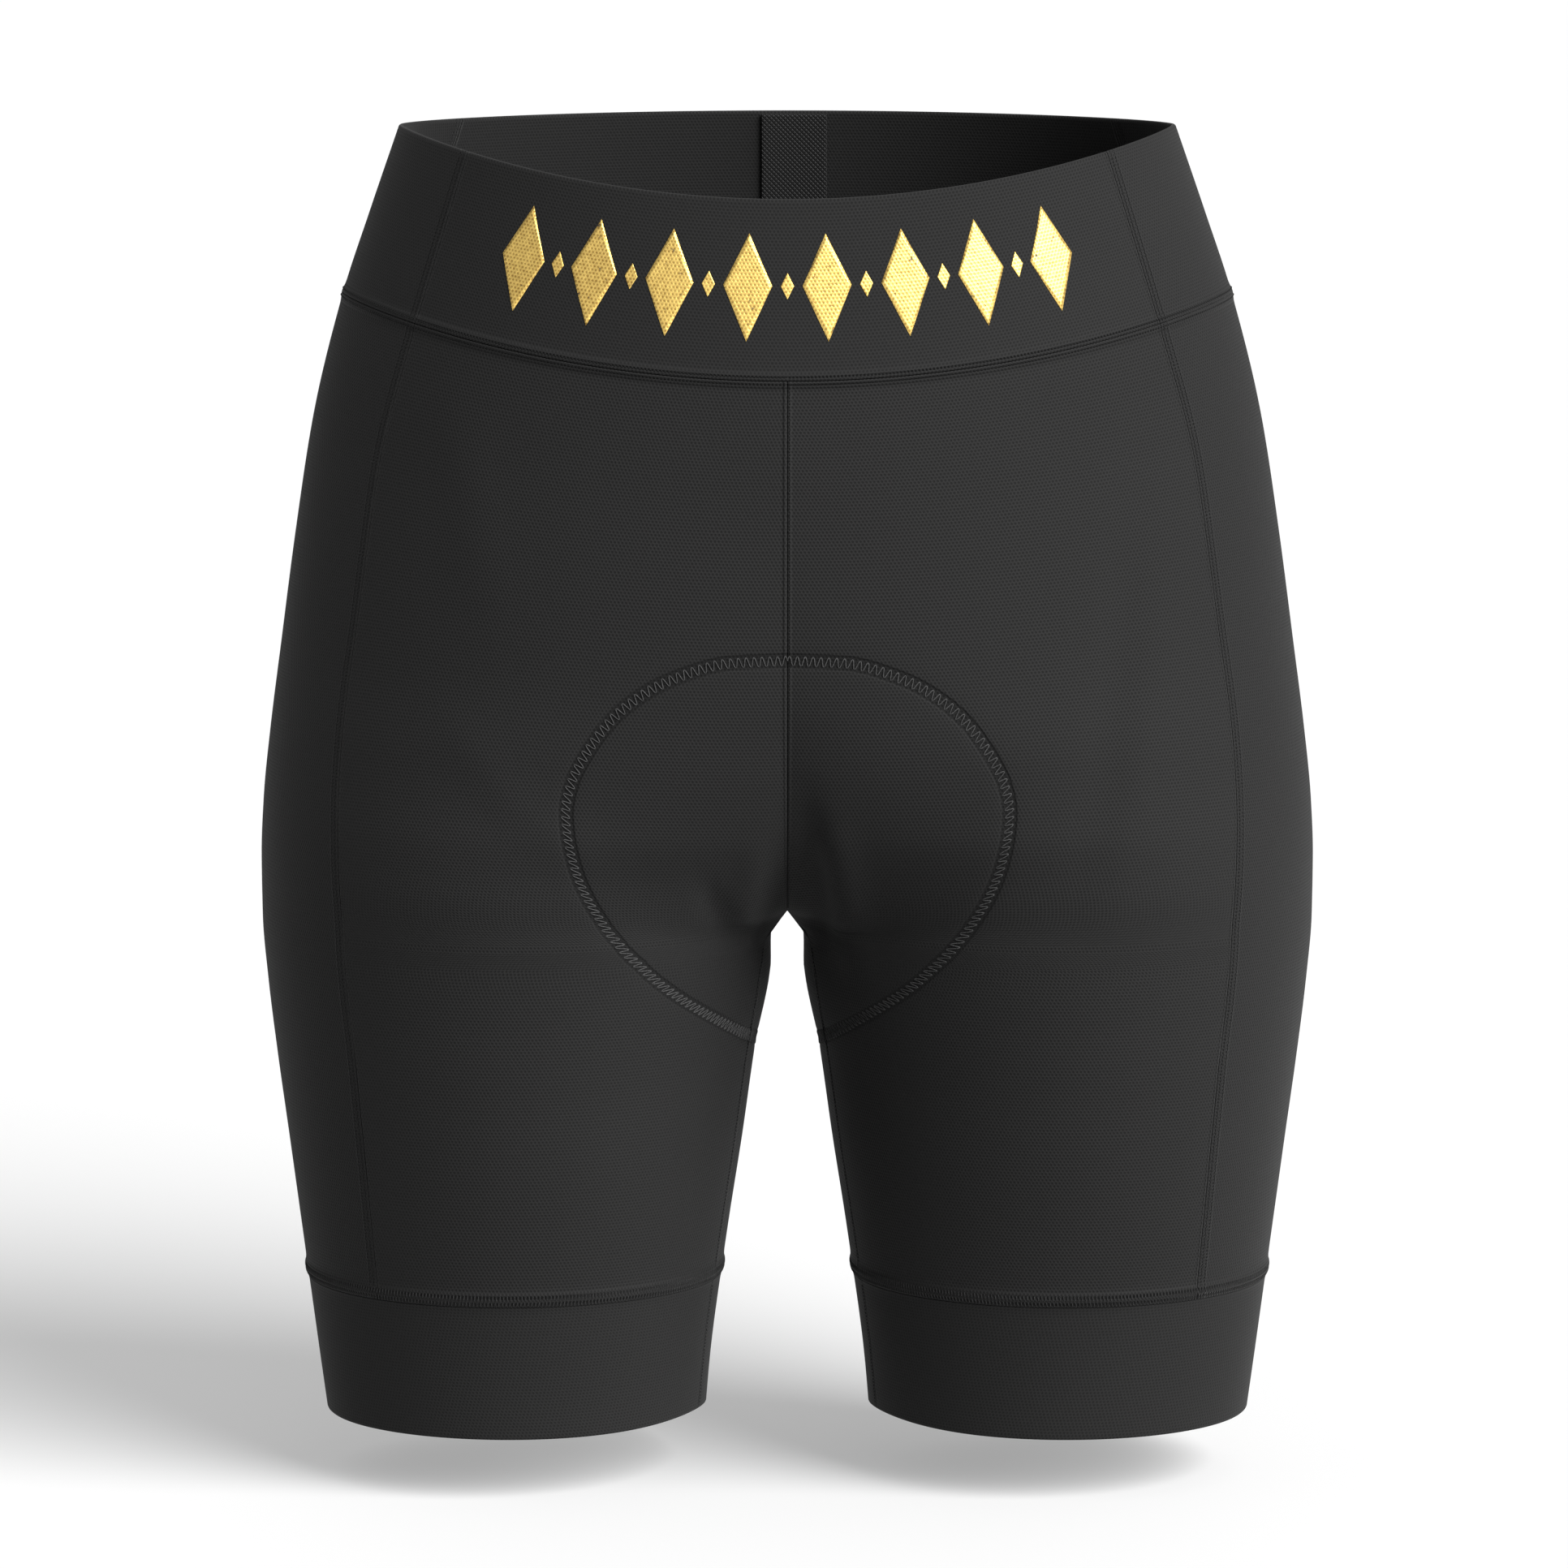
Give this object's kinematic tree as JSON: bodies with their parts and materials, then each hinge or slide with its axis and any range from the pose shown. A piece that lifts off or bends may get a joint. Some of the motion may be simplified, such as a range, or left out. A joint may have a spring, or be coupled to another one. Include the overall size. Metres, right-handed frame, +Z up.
{
  "type": "cycling shorts",
  "caption": "Close-fitting stretch-knit cycling shorts in worn form, hollow, with a shaped waistband, leg bands and an inner seat pad.",
  "frame": {"origin": "middle of the waist opening, level with its sides, where the wearer's waist holds the shorts", "axes": "+Z up, -Y to the front, +X to the wearer's left"},
  "size_m": [0.369, 0.2353, 0.4545],
  "materials": {
    "knit": "charcoal stretch knit, fine dotted face, soft matte sheen",
    "band": "doubled charcoal stretch knit, smooth",
    "elastic": "black woven elastic, coarse diamond texture",
    "pad": "dark foam pad under brushed knit"
  },
  "bodies": {
    "root": {"waistband_front": "band", "waistband_side_left": "band", "waistband_side_right": "band", "waistband_back": "band", "back_strip": "elastic", "front_left": "knit", "front_right": "knit", "side_left": "knit", "side_right": "knit", "back_left": "knit", "back_right": "knit", "leg_band_left": "band", "leg_band_right": "band", "seat_pad": "pad"}
  },
  "joints": []
}
